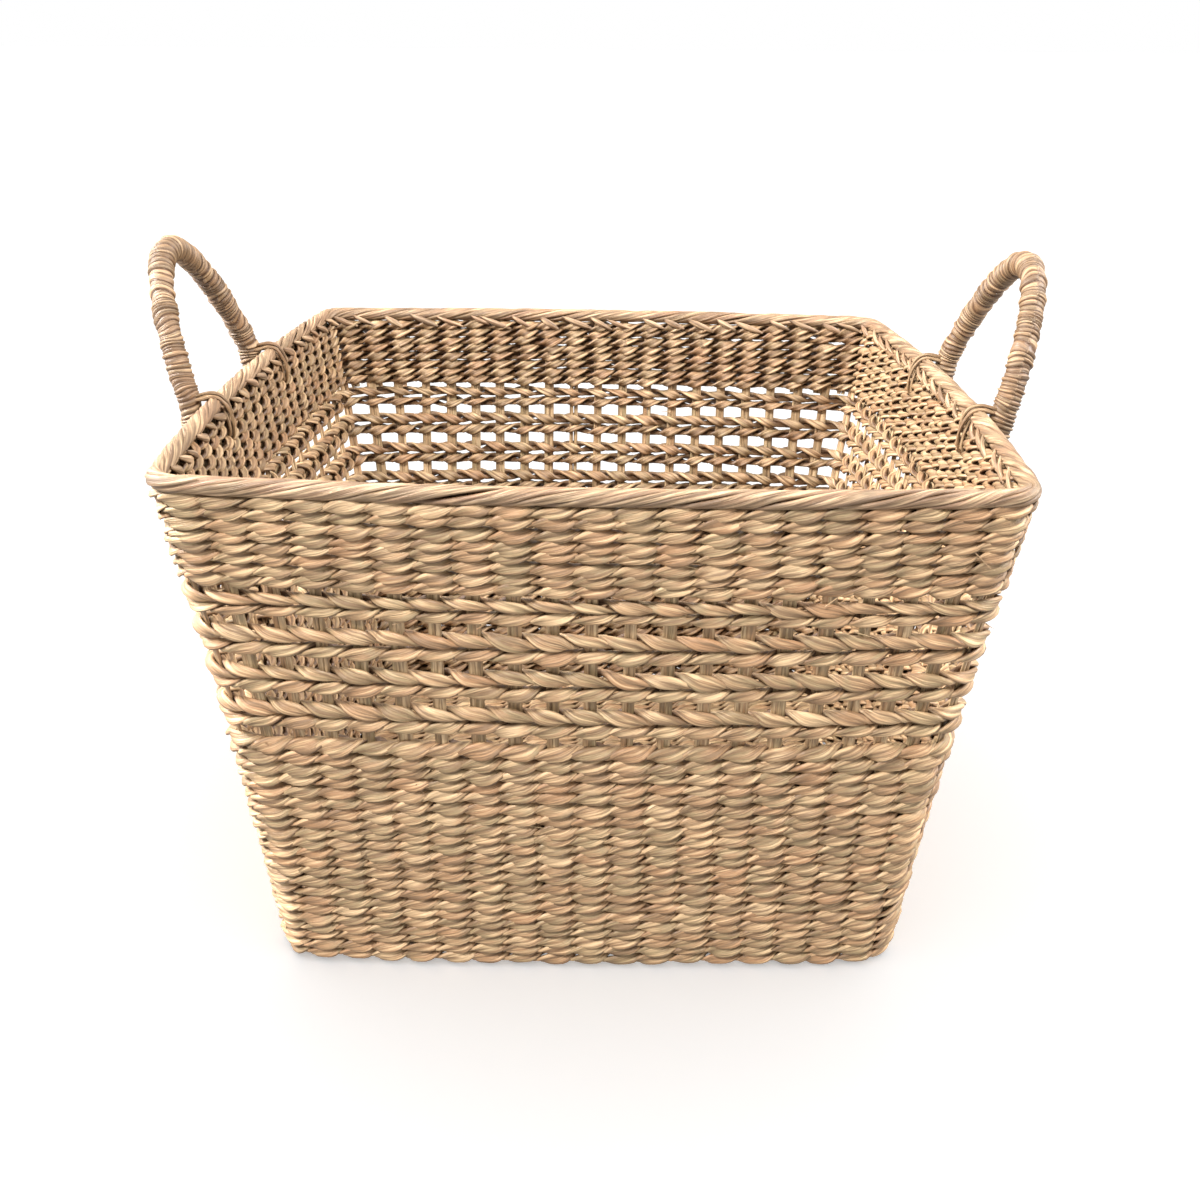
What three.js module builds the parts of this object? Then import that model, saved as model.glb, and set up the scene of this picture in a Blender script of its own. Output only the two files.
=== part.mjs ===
// Square woven storage basket with two sprung carrying handles. Millimetres, +Z up, base face at Z = 0,
// X runs from one handle to the other, Y from the front wall to the back wall.
import * as THREE from 'three';

// ---- driving dimensions -------------------------------------------------------------------------
const RIM_HALF = 190;          // half width of the square rim, outside
const BASE_HALF = 154;         // half width of the square base, outside
const HEIGHT = 258;            // floor to top of the rim
const RIM_CORNER = 50;         // outside corner radius at the rim
const BASE_CORNER = 26;        // outside corner radius at the base
const RIM_ROLL = 4.6;          // radius of the rolled rim border
const STRAND = 2.6;            // thickness of one layer of weft strands
const STAKE = 2.0;             // thickness of a flat stake
const STAKE_WIDTH = 9.5;       // width of a flat stake
const STAKE_PITCH = 16.3;      // spacing of the stakes
const CORNER_STAKE = [6, 1.6]; // width and thickness of the single stake up each corner
const UPPER_ZONE = 38.9;       // height of the closely packed rows under the rim
const BAND_HEIGHTS = [11.1, 13.6, 13.5, 14.0];      // open bands, from the top
const WINDOW_HEIGHTS = [3.3, 5.5, 5.5, 5.5, 5.5];   // gaps above each band and below the last
const HANDLE_RADIUS = 6.2;     // wrapped handle, outside
const HANDLE_SPAN = 112;       // spacing of the two legs of a handle
const HANDLE_RISE = 63;        // pivot line to the centre of the handle's top
const HANDLE_LEAN = 15;        // outward lean of a handle at rest, degrees
const FOOT_LENGTH = 44;        // length of a leg lashed to the wall below the rim
const LASH = 1.4;              // radius of a lashing cord
const LASH_DROP = 23;          // how far below the middle of the rim a lashing ends inside the wall
const LASH_START = 8;          // length of its end that lies straight on the wall
const GAP = 0.3;               // clearance between neighbouring pieces

// ---- worked out from them -----------------------------------------------------------------------
const STRAIGHT = 2 * (BASE_HALF - BASE_CORNER);
const STAKES_PER_WAY = Math.floor((STRAIGHT - 2 * STAKE_WIDTH) / STAKE_PITCH) + 1;
const WALL = 2 * STRAND + STAKE + 2 * GAP;
const RIM_Z = HEIGHT - RIM_ROLL;
const SLOPE = (RIM_HALF - BASE_HALF) / RIM_Z;
const WALL_TOP = HEIGHT - 2 * RIM_ROLL - GAP;
const COS = 1 / Math.hypot(1, SLOPE);
const LEVEL_A = STRAND + GAP;
const LEVEL_B = LEVEL_A + STAKE + GAP;
const FLOOR_IN = LEVEL_B + STAKE + GAP;
const STAKE_BEND = 5;
const WALL_BOTTOM_IN = LEVEL_B + STAKE + STAKE_BEND;
const PIVOT_Z = HEIGHT;
const PIVOT_X = outerHalf(PIVOT_Z) + (GAP + 0.1 + HANDLE_RADIUS) / COS;

function outerHalf(z) {
  return BASE_HALF + SLOPE * z;
}

function cornerRadius(z) {
  return BASE_CORNER + (RIM_CORNER - BASE_CORNER) * (z / RIM_Z);
}

// Points round a rounded square, anticlockwise.
function squareLoop(half, radius, steps = 6) {
  const points = [];
  for (let corner = 0; corner < 4; corner += 1) {
    const sx = corner === 0 || corner === 3 ? 1 : -1;
    const sy = corner < 2 ? 1 : -1;
    for (let i = 0; i <= steps; i += 1) {
      const angle = (corner + i / steps) * Math.PI / 2;
      const x = sx * (half - radius) + radius * Math.cos(angle);
      const y = sy * (half - radius) + radius * Math.sin(angle);
      points.push([x, y]);
    }
  }
  return points;
}

// Closed ring: a section given as [depth in from the wall's outside, height], carried round the wall.
function ringGeometry(section) {
  const loops = section.map(([depth, z]) => squareLoop(outerHalf(z) - depth, cornerRadius(z) - depth));
  const count = loops[0].length;
  const position = [];
  loops.forEach((loop, k) => loop.forEach(([x, y]) => position.push(x, y, section[k][1])));
  const index = [];
  for (let k = 0; k < loops.length; k += 1) {
    const next = (k + 1) % loops.length;
    for (let i = 0; i < count; i += 1) {
      const j = (i + 1) % count;
      const a = k * count + i;
      const b = k * count + j;
      const c = next * count + j;
      const d = next * count + i;
      index.push(a, b, c, a, c, d);
    }
  }
  return indexed(position, index);
}

function indexed(position, index) {
  const geometry = new THREE.BufferGeometry();
  geometry.setAttribute('position', new THREE.Float32BufferAttribute(position, 3));
  geometry.setIndex(index);
  geometry.computeVertexNormals();
  return geometry;
}

// One layer of weft rows between two heights.
function layerGeometry(bottom, top, depth) {
  return ringGeometry([[depth, bottom], [depth, top], [depth + STRAND, top], [depth + STRAND, bottom]]);
}

// Flat mat that fills the floor between the walls.
function matGeometry(z, half, radius) {
  const shape = new THREE.Shape(squareLoop(half, radius).map(([x, y]) => new THREE.Vector2(x, y)));
  const geometry = new THREE.ExtrudeGeometry(shape, { depth: STRAND, bevelEnabled: false });
  geometry.translate(0, 0, z);
  return geometry;
}

// U-shaped stake: up one wall, across the base, up the opposite wall. The outline lies in X and Z.
function stakeGeometry(level, offset, alongX) {
  const depth = STRAND + GAP;
  const side = (inset, z0) => {
    const lean = Math.atan(SLOPE);
    const x0 = outerHalf(z0) - inset / COS;
    const cut = STAKE_BEND * Math.tan((Math.PI / 2 - lean) / 2);
    const centre = [x0 - cut, z0];
    const wall = [x0 + cut * Math.sin(lean), z0 + cut * Math.cos(lean)];
    return [centre, [x0 - cut * 0.26, z0 + cut * 0.26], wall];
  };
  const top = WALL_TOP - GAP;
  const outside = side(depth * COS, level).concat([[outerHalf(top) - depth, top]]);
  const inside = side((depth + STAKE) * COS, level + STAKE).concat([[outerHalf(top) - depth - STAKE, top]]);
  const half = outside.concat(inside.reverse());
  const cut = outside.length;
  const right = half.slice(0, cut);
  const rightIn = half.slice(cut);
  const mirror = (points) => points.map(([x, z]) => [-x, z]).reverse();
  const outline = mirror(right).concat(right, rightIn, mirror(rightIn));
  const shape = new THREE.Shape(outline.map(([x, z]) => new THREE.Vector2(x, z)));
  const geometry = new THREE.ExtrudeGeometry(shape, { depth: STAKE_WIDTH, bevelEnabled: false });
  geometry.translate(0, 0, -STAKE_WIDTH / 2);
  geometry.rotateX(Math.PI / 2);
  if (!alongX) {
    geometry.rotateZ(Math.PI / 2);
    geometry.translate(offset, 0, 0);
  } else {
    geometry.translate(0, offset, 0);
  }
  return geometry;
}

// Flat stake up one corner, between the two layers of weft.
function cornerStakeGeometry(quarter) {
  const [width, thickness] = CORNER_STAKE;
  const [bottom, top] = [LEVEL_A, WALL_TOP - GAP];
  const spread = Math.asin(width / 2 / (BASE_CORNER - STRAND - GAP));
  const reach = (z, depth) => {
    const radius = cornerRadius(z) - depth;
    const centre = (outerHalf(z) - cornerRadius(z)) * Math.SQRT2;
    return centre + radius * Math.cos(spread);
  };
  const position = [];
  for (const z of [bottom, top]) {
    const outer = reach(z, STRAND + GAP);
    const inner = outer - thickness;
    for (const [along, across] of [[outer, -1], [outer, 1], [inner, 1], [inner, -1]]) {
      position.push(along, across * width / 2, z);
    }
  }
  const geometry = indexed(position, [
    0, 1, 5, 0, 5, 4, 1, 2, 6, 1, 6, 5, 2, 3, 7, 2, 7, 6,
    3, 0, 4, 3, 4, 7, 0, 3, 2, 0, 2, 1, 4, 5, 6, 4, 6, 7,
  ]);
  geometry.rotateZ((quarter + 0.5) * Math.PI / 2);
  return geometry;
}

// Closed tube through points, with its own radius at each; a radius of 0 makes a pole.
function tubeGeometry(points, radii, sides) {
  const position = [];
  const index = [];
  const up = new THREE.Vector3();
  const side = new THREE.Vector3();
  const tangent = new THREE.Vector3();
  const last = points.length - 1;
  points.forEach((point, k) => {
    tangent.subVectors(points[Math.min(k + 1, last)], points[Math.max(k - 1, 0)]).normalize();
    if (k === 0) {
      up.set(1, 0, 0).addScaledVector(tangent, -tangent.x).normalize();
    } else {
      up.addScaledVector(tangent, -up.dot(tangent)).normalize();
    }
    side.crossVectors(tangent, up);
    for (let i = 0; i < sides; i += 1) {
      const angle = (i / sides) * 2 * Math.PI;
      const c = radii[k] * Math.cos(angle);
      const s = radii[k] * Math.sin(angle);
      position.push(point.x + c * up.x + s * side.x);
      position.push(point.y + c * up.y + s * side.y);
      position.push(point.z + c * up.z + s * side.z);
    }
  });
  for (let k = 0; k < last; k += 1) {
    for (let i = 0; i < sides; i += 1) {
      const j = (i + 1) % sides;
      const a = k * sides + i;
      const b = k * sides + j;
      index.push(a, b, b + sides, a, b + sides, a + sides);
    }
  }
  for (const k of [0, last]) {
    const centre = position.length / 3;
    position.push(points[k].x, points[k].y, points[k].z);
    for (let i = 0; i < sides; i += 1) {
      const j = (i + 1) % sides;
      const a = k * sides + i;
      const b = k * sides + j;
      if (k === 0) {
        index.push(centre, b, a);
      } else {
        index.push(centre, a, b);
      }
    }
  }
  return indexed(position, index);
}

// Centre line of a handle's arch in its own leaning plane: [along Y, up the lean].
function archPoint(t) {
  const angle = Math.PI * t;
  return [Math.cos(angle) * HANDLE_SPAN / 2, Math.sin(angle) ** 1.5 * HANDLE_RISE];
}

// The arch with a round knuckle at each end, centred on the pivot line.
function archGeometry(mirror) {
  const lean = HANDLE_LEAN * Math.PI / 180;
  const steps = 22;
  const points = [];
  const radii = [];
  const place = (y, rise) => {
    points.push(new THREE.Vector3(
      mirror * (PIVOT_X + rise * Math.sin(lean)),
      y,
      PIVOT_Z + rise * Math.cos(lean),
    ));
  };
  const knuckle = [80, 52, 24];
  for (const degrees of knuckle) {
    const angle = degrees * Math.PI / 180;
    place(HANDLE_SPAN / 2, -HANDLE_RADIUS * Math.sin(angle));
    radii.push(HANDLE_RADIUS * Math.cos(angle));
  }
  for (let i = 0; i <= steps; i += 1) {
    const [y, rise] = archPoint(i / steps);
    place(y, rise);
    radii.push(HANDLE_RADIUS);
  }
  for (const degrees of [...knuckle].reverse()) {
    const angle = degrees * Math.PI / 180;
    place(-HANDLE_SPAN / 2, -HANDLE_RADIUS * Math.sin(angle));
    radii.push(HANDLE_RADIUS * Math.cos(angle));
  }
  return tubeGeometry(points, radii, 12);
}

// Leg of a handle below the rim, standing against the outside of the wall.
function footGeometry(mirror, y) {
  const top = PIVOT_Z - HANDLE_RADIUS - GAP;
  const points = [];
  const radii = [];
  const place = (z, radius) => {
    points.push(new THREE.Vector3(mirror * (outerHalf(z) + (GAP + 0.1 + HANDLE_RADIUS) / COS), y, z));
    radii.push(radius);
  };
  place(top - FOOT_LENGTH, HANDLE_RADIUS * 0.45);
  place(top - FOOT_LENGTH + 3, HANDLE_RADIUS * 0.8);
  place(top - FOOT_LENGTH + 9, HANDLE_RADIUS);
  place(top, HANDLE_RADIUS);
  return tubeGeometry(points, radii, 12);
}

// Lashing cord: from inside the wall, over the rim, round the leg, back over the rim and inside again.
function lashGeometry(mirror, y) {
  const half = HANDLE_RADIUS + GAP + 0.25 + LASH;
  const clear = (RIM_ROLL / Math.cos(Math.PI / 8) + GAP + LASH) / Math.cos(Math.PI / 12);
  const rimX = RIM_HALF - RIM_ROLL;
  const inside = (z) => outerHalf(z) - WALL - (GAP + LASH) / COS - 0.4;
  const level = RIM_Z - 5;
  const footX = outerHalf(level) + (GAP + 0.1 + HANDLE_RADIUS) / COS;
  const end = RIM_Z - LASH_DROP;
  const run = [[inside(end), end], [inside(end + LASH_START), end + LASH_START]];
  for (const degrees of [180, 150, 120, 90, 60, 30, 4]) {
    const angle = degrees * Math.PI / 180;
    run.push([rimX + clear * Math.cos(angle), RIM_Z + clear * Math.sin(angle)]);
  }
  const points = run.map(([x, z]) => new THREE.Vector3(mirror * x, y - half, z));
  for (const degrees of [-90, -60, -30, 0, 30, 60, 90]) {
    const angle = degrees * Math.PI / 180;
    const x = footX + half * Math.cos(angle);
    points.push(new THREE.Vector3(mirror * x, y + half * Math.sin(angle), level));
  }
  for (const [x, z] of [...run].reverse()) {
    points.push(new THREE.Vector3(mirror * x, y + half, z));
  }
  return tubeGeometry(points, points.map(() => LASH), 7);
}

// ---- assembly -----------------------------------------------------------------------------------
const group = new THREE.Group();
group.name = 'storage_basket';

function add(name, geometry, colour, roughness = 0.8) {
  const material = new THREE.MeshStandardMaterial({ color: colour, roughness, metalness: 0 });
  material.name = name;
  const mesh = new THREE.Mesh(geometry, material);
  mesh.name = name;
  group.add(mesh);
}

const WEFT_COLOUR = 0xcbb088;
const INNER_COLOUR = 0xc09a6a;
const STAKE_COLOUR = 0xd0b890;
const RIM_COLOUR = 0xe0cfae;
const LASH_COLOUR = 0xa07850;

// Base: two mats with the crossing stakes between them.
const matInset = STRAND + GAP;
add('base_mat_outer', matGeometry(0, BASE_HALF - matInset, BASE_CORNER - matInset), WEFT_COLOUR);
const floorInset = WALL + STAKE_BEND / 2;
add('base_mat_inner', matGeometry(
  FLOOR_IN, outerHalf(FLOOR_IN) - floorInset, cornerRadius(FLOOR_IN) - floorInset,
), INNER_COLOUR);

// Stakes, numbered from the middle of one side to the other.
for (let i = 0; i < STAKES_PER_WAY; i += 1) {
  const offset = (i - (STAKES_PER_WAY - 1) / 2) * STAKE_PITCH;
  const number = String(i + 1).padStart(2, '0');
  add(`stake_front_back_${number}`, stakeGeometry(LEVEL_A, offset, false), STAKE_COLOUR);
  add(`stake_left_right_${number}`, stakeGeometry(LEVEL_B, offset, true), STAKE_COLOUR);
}

for (let quarter = 0; quarter < 4; quarter += 1) {
  add(`stake_corner_${quarter + 1}`, cornerStakeGeometry(quarter), STAKE_COLOUR);
}

// Weft rows: one outer and one inner layer for each zone of the wall.
const zones = [];
let level = WALL_TOP;
zones.push(['upper', level - UPPER_ZONE, level]);
level -= UPPER_ZONE + WINDOW_HEIGHTS[0];
BAND_HEIGHTS.forEach((height, i) => {
  zones.push([`band_${i + 1}`, level - height, level]);
  level -= height + WINDOW_HEIGHTS[i + 1];
});
zones.push(['lower', 0, level]);
for (const [name, bottom, top] of zones) {
  const innerBottom = Math.max(bottom, WALL_BOTTOM_IN);
  add(`weft_${name}_outer`, layerGeometry(bottom, top, 0), WEFT_COLOUR);
  add(`weft_${name}_inner`, layerGeometry(innerBottom, top, WALL - STRAND), INNER_COLOUR);
}

// Rolled rim border.
const rimSection = [];
for (let i = 0; i < 8; i += 1) {
  const angle = Math.PI / 8 + (i / 8) * 2 * Math.PI;
  const z = RIM_Z + RIM_ROLL * Math.sin(angle) / Math.cos(Math.PI / 8);
  rimSection.push([RIM_ROLL + outerHalf(z) - RIM_HALF - RIM_ROLL * Math.cos(angle), z]);
}
add('rim_border', ringGeometry(rimSection), RIM_COLOUR, 0.75);

// Handles: sprung arch, two fixed legs and two lashings on each side.
for (const [side, mirror] of [['left', -1], ['right', 1]]) {
  add(`handle_${side}_arch`, archGeometry(mirror), WEFT_COLOUR);
  for (const [end, sign] of [['front', -1], ['back', 1]]) {
    const y = sign * HANDLE_SPAN / 2;
    add(`handle_${side}_leg_${end}`, footGeometry(mirror, y), WEFT_COLOUR);
    add(`handle_${side}_lashing_${end}`, lashGeometry(mirror, y), LASH_COLOUR);
  }
}

export default group;
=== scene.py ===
import logging
import math
from dataclasses import dataclass, field
from enum import Enum

import bpy
import numpy as np
from mathutils import Matrix


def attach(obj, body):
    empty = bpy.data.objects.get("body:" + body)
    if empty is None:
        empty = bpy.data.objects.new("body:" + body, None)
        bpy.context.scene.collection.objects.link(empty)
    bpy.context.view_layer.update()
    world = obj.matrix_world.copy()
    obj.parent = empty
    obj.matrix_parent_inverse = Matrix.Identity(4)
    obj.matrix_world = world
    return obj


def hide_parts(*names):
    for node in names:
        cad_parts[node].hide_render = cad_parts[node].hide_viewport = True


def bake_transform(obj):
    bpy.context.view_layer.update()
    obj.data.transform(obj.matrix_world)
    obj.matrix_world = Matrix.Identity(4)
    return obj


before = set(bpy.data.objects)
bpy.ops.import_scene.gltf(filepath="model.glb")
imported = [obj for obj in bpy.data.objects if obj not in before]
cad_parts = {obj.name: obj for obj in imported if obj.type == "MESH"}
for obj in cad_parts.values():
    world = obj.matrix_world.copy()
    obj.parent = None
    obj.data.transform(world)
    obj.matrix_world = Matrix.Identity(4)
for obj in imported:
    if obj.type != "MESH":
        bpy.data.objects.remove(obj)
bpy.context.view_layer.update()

LOG = logging.getLogger("basket")
MM = 0.001
TURN = 2 * math.pi
UP = np.array([0.0, 0.0, 1.0])
RIM_SPACES = 7  # stake spaces round a corner, under the rim
MIDDLE_SPACES = 6  # the same, in the middle of the wall
SEEDS = 40  # strand seeds lie from 0 to this number
FACE_STEP = 0.4 * MM  # sets the streaks on the face and back of a strand apart
WEFT_SLOT = "outer_weft_grass"
STAKE_SLOT = "stake_grass"
RIM_SLOT = "rim_grass"


class Twist(Enum):
    """Way in which a row's outer strands lean, seen from outside."""

    RISING = 1.0
    FALLING = -1.0


class Side(Enum):
    """The two walls that carry a handle."""

    LEFT = -1.0
    RIGHT = 1.0


class End(Enum):
    """The two legs of a handle."""

    FRONT = -1.0
    BACK = 1.0


class Way(Enum):
    """The two ways in which long stakes cross the base."""

    FRONT_BACK = "front_back"
    LEFT_RIGHT = "left_right"


# Shape of the wall


@dataclass(frozen=True)
class WallForm:
    """Square wall with bowed sides and tight corners, wider towards the rim.

    Attributes:
        rim_half: Half width outside, at the middle of the rim.
        base_half: Half width outside, at the floor.
        rim_z: Height of the middle of the rim.
        rim_corner: Corner radius at the rim.
        base_corner: Corner radius at the floor.
        rim_bow: How far the middle of a side stands out from its corners, at the rim.
        base_bow: The same, at the floor.
        thickness: Wall thickness over both layers of weft.
        pitch: Spacing of the stakes on the middle part of a wall.
        straight: Stake spaces on the middle part of a wall.
        flare: How much sooner than a straight line the wall turns in below the rim.
        tuck: How far the wall stands in from the rim.
        foot_height: Height over which the wall rounds in to the base.
        foot_round: How far it rounds in.
        lean_x: Rise of the rim per metre towards the right, from uneven making.
        lean_y: Rise of the rim per metre towards the back.
        slip: How far the floor lies to the right of the rim.
        rim_from: Height above which a corner has RIM_SPACES.
        middle_from: Height above which it has MIDDLE_SPACES.
    """

    rim_half: float = 190 * MM
    base_half: float = 155.5 * MM
    rim_z: float = 253.4 * MM
    rim_corner: float = 17 * MM
    base_corner: float = 21 * MM
    rim_bow: float = 8 * MM
    base_bow: float = 3 * MM
    thickness: float = 7.8 * MM
    pitch: float = 16.3 * MM
    straight: int = 14
    flare: float = 0.24
    tuck: float = 1.2 * MM
    foot_height: float = 11 * MM
    foot_round: float = 2.2 * MM
    lean_x: float = -0.0098
    lean_y: float = -0.006
    slip: float = -2.8 * MM
    rim_from: float = 208 * MM
    middle_from: float = 130 * MM

    @property
    def tilt(self) -> float:
        """Angle of the wall's outside from upright."""
        return math.atan((self.rim_half - self.base_half) / self.rim_z)

    def share(self, z: np.ndarray) -> np.ndarray:
        """Height as a share of the rim's height."""
        return np.clip(z / self.rim_z, 0, 1.05)

    def half(self, z: np.ndarray) -> np.ndarray:
        """Half width outside: a straight taper, less a flare u(1 - u), the tuck and the foot.

        Args:
            z: Height.

        Returns:
            Half width at the middle of a side.
        """
        u = 1 - self.share(z)
        drop = u + self.flare * u * (1 - u)
        foot = np.clip(1 - z / self.foot_height, 0, 1) ** 2 * self.foot_round
        taper = (self.rim_half - self.base_half) * drop
        return self.rim_half - taper - self.tuck * (1 - u) ** 2 - foot

    def corner(self, z: np.ndarray) -> np.ndarray:
        """Outside corner radius at height z."""
        return self.base_corner + (self.rim_corner - self.base_corner) * self.share(z)

    def bow(self, z: np.ndarray) -> np.ndarray:
        """Bow of a side at height z."""
        return self.base_bow + (self.rim_bow - self.base_bow) * self.share(z)

    def stakes(self, spaces: int) -> int:
        """Stakes round the whole wall, with so many spaces round a corner."""
        return 4 * (self.straight + spaces)

    def around(
        self, q: np.ndarray, z: np.ndarray, spaces: int, out: np.ndarray
    ) -> tuple[np.ndarray, np.ndarray]:
        """Places points on the wall from a stake number and a height.

        A side has `straight` equal stake spaces, then its corner has `spaces` more over the end
        of the side, an arc and the start of the next side. A side is bowed: its distance from
        the middle is d + bow * (1 - (x / c)^2), where c is where the corner's arc starts.
        Points lie on the middle of the wall, moved outwards along the level normal by `out`.

        Args:
            q: Stake number, continuous, anticlockwise from the left end of the front wall.
            z: Height.
            spaces: Stake spaces round one corner.
            out: Distance outwards from the middle of the wall. These three broadcast.

        Returns:
            Positions and outward normals, each with a last axis of 3.
        """
        q, z, out = np.broadcast_arrays(q, z, out)
        per_side = self.straight + spaces
        q = np.mod(q, 4 * per_side)
        side = np.floor(q / per_side)
        local = q - side * per_side
        bow = self.bow(z)
        mid = self.half(z) - self.thickness / 2 - bow
        radius = self.corner(z) - self.thickness / 2
        centre = mid - radius
        reach = self.straight / 2 * self.pitch
        flat = centre - reach
        arc = radius * math.pi / 2
        run = np.maximum((local - self.straight) / spaces * (2 * flat + arc), 0)
        angle = np.clip((run - flat) / radius, 0, math.pi / 2)
        first = np.minimum(run, flat)
        last = np.maximum(run - flat - arc, 0)
        x_front = np.where(local < self.straight, local * self.pitch - reach, reach + first)
        y_next = -centre + last
        slope_front = 2 * bow * x_front / centre**2
        slope_next = 2 * bow * y_next / centre**2
        lift_front = bow * (1 - (x_front / centre) ** 2)
        lift_next = bow * (1 - (y_next / centre) ** 2)
        on_front, on_next = run < flat, run > flat + arc
        sin, cos = np.sin(angle), np.cos(angle)
        x = np.where(on_front, x_front, np.where(on_next, mid + lift_next, centre + radius * sin))
        y = np.where(on_front, -mid - lift_front, np.where(on_next, y_next, -centre - radius * cos))
        nx = np.where(on_front, slope_front, np.where(on_next, 1.0, sin))
        ny = np.where(on_front, -1.0, np.where(on_next, slope_next, -cos))
        size = np.hypot(nx, ny)
        nx, ny = nx / size, ny / size
        x, y = x + nx * out, y + ny * out
        turn = side * math.pi / 2
        c, s = np.cos(turn), np.sin(turn)
        point = np.stack([c * x - s * y, s * x + c * y, z], -1)
        tilt = self.tilt
        level = np.stack([c * nx - s * ny, s * nx + c * ny], -1) * math.cos(tilt)
        normal = np.concatenate([level, np.full((*z.shape, 1), -math.sin(tilt))], -1)
        return point, normal

    def reach(self, offset: float, z: np.ndarray) -> np.ndarray:
        """Distance of the middle of the wall from the centre, on a bowed side.

        Args:
            offset: Place along the side.
            z: Height.

        Returns:
            Distances.
        """
        bow = self.bow(z)
        mid = self.half(z) - self.thickness / 2 - bow
        centre = mid - self.corner(z) + self.thickness / 2
        return mid + bow * (1 - (offset / centre) ** 2)

    def corner_spaces(self, z: float) -> int:
        """Stake spaces round a corner, so that they stay about one pitch wide.

        Args:
            z: Height.

        Returns:
            Number of spaces.
        """
        if z > self.rim_from:
            return RIM_SPACES
        if z > self.middle_from:
            return MIDDLE_SPACES
        at = np.array(z)
        radius = float(self.corner(at)) - self.thickness / 2
        flat = float(self.half(at) - self.bow(at)) - self.thickness / 2 - radius
        length = 2 * (flat - self.straight / 2 * self.pitch) + radius * math.pi / 2
        return max(4, round(length / (0.97 * self.pitch)))

    def settle(self, points: np.ndarray) -> np.ndarray:
        """Makes the form slightly uneven: height changes in proportion to height and place.

        Args:
            points: Points on the even form, with a last axis of 3.

        Returns:
            Moved points.
        """
        moved = points.copy()
        share = np.clip(points[..., 2] / self.rim_z, 0, 1.1)
        moved[..., 0] += self.slip * np.clip(1 - share, 0, 1)
        moved[..., 2] += share * (self.lean_x * points[..., 0] + self.lean_y * points[..., 1])
        return moved


WALL = WallForm()


# Mesh tools


def unit(v: np.ndarray) -> np.ndarray:
    """Vectors scaled to length 1 along the last axis."""
    return v / np.maximum(np.linalg.norm(v, axis=-1, keepdims=True), 1e-12)


def run_length(line: np.ndarray) -> np.ndarray:
    """Length of a path up to each of its points."""
    return np.concatenate([[0], np.cumsum(np.linalg.norm(np.diff(line, axis=0), axis=1))])


def by_length(line: np.ndarray, share: np.ndarray) -> np.ndarray:
    """Points of a path, n by 3, at shares of its length from 0 to 1."""
    length = run_length(line)
    return np.stack([np.interp(share * length[-1], length, line[:, i]) for i in range(3)], -1)


def rounded(line: np.ndarray, reach: int) -> np.ndarray:
    """Rounds the bends of a path: a running average weighted by exp(-x^2), x from -2 to 2.

    Args:
        line: Path, n by 3.
        reach: Points each way that the average covers.

    Returns:
        Path, n by 3.
    """
    kernel = np.exp(-np.linspace(-2, 2, 2 * reach + 1) ** 2)
    kernel /= kernel.sum()
    padded = np.pad(line, ((reach, reach), (0, 0)), mode="reflect", reflect_type="odd")
    return np.stack([np.convolve(padded[:, i], kernel, "valid") for i in range(3)], -1)


def tube_faces(rings: int, sides: int, closed: bool) -> np.ndarray:
    """Lists the quads between neighbouring rings of a tube.

    Args:
        rings: Number of rings.
        sides: Points in a ring.
        closed: True if the last ring joins the first.

    Returns:
        Point numbers, one row of four for each quad.
    """
    i, j = np.meshgrid(np.arange(rings if closed else rings - 1), np.arange(sides), indexing="ij")
    after, beside = (i + 1) % rings, (j + 1) % sides
    corners = [i * sides + j, i * sides + beside, after * sides + beside, after * sides + j]
    return np.stack(corners, -1).reshape(-1, 4)[:, ::-1]


@dataclass
class Wobble:
    """Smooth random changes along a strand, drawn anew at each call.

    Values are random at whole numbers, with mean 0, and eased between them with 3f^2 - 2f^3.

    Attributes:
        rng: Seeded generator.
        count: How many whole numbers there are.
        place: Where values are wanted.
        closed: True if the last value runs on into the first.
    """

    rng: np.random.Generator
    count: int
    place: np.ndarray
    closed: bool = True

    def __call__(self, amount: float) -> np.ndarray:
        """Draws one set of changes.

        Args:
            amount: About their standard deviation.

        Returns:
            Changes, shaped as place.
        """
        values = self.rng.standard_normal(self.count + 1)
        if self.closed:
            values[self.count] = values[0]
        low = np.clip(np.floor(self.place).astype(int), 0, self.count - 1)
        f = self.place - low
        ease = f * f * (3 - 2 * f)
        return amount * (values[low] * (1 - ease) + values[low + 1] * ease)


@dataclass(frozen=True)
class Section:
    """Outline of a strand, in half widths and half thicknesses, anticlockwise.

    Attributes:
        across: Place across the strand, from -1 to 1.
        lift: Place through its thickness, from -1 to 1.
        depth: Shade added at each point, for the sides that lie against other strands.
    """

    across: np.ndarray
    lift: np.ndarray
    depth: np.ndarray

    @classmethod
    def leaf(cls) -> "Section":
        """Leaf with a crease in its rounded face and a plain back, with painted shade on its edges, in
        the crease and on the back.

        Returns:
            The outline.
        """
        across = [1.0, 0.86, 0.48, 0.14, -0.38, -0.84, -1.0, -0.55, 0.55]
        lift = [-0.05, 0.72, 1.0, 0.74, 1.0, 0.74, -0.05, -0.9, -0.9]
        # painted shade: darkest on the back, dark at the edges, lighter in the crease
        depth = [0.55, 0.06, 0.0, 0.34, 0.0, 0.06, 0.55, 0.8, 0.8]
        return cls(np.array(across), np.array(lift), np.array(depth))

    @classmethod
    def oval(cls, sides: int) -> "Section":
        """Plain oval of so many points: cos a across, sin a to the power 0.8 through."""
        a = (np.arange(sides) + 0.5) / sides * TURN
        return cls(np.cos(a), np.sign(np.sin(a)) * np.abs(np.sin(a)) ** 0.8, np.zeros(sides))


LEAF = Section.leaf()
OVAL = Section.oval(8)
SMALL_OVAL = Section.oval(6)


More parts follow.
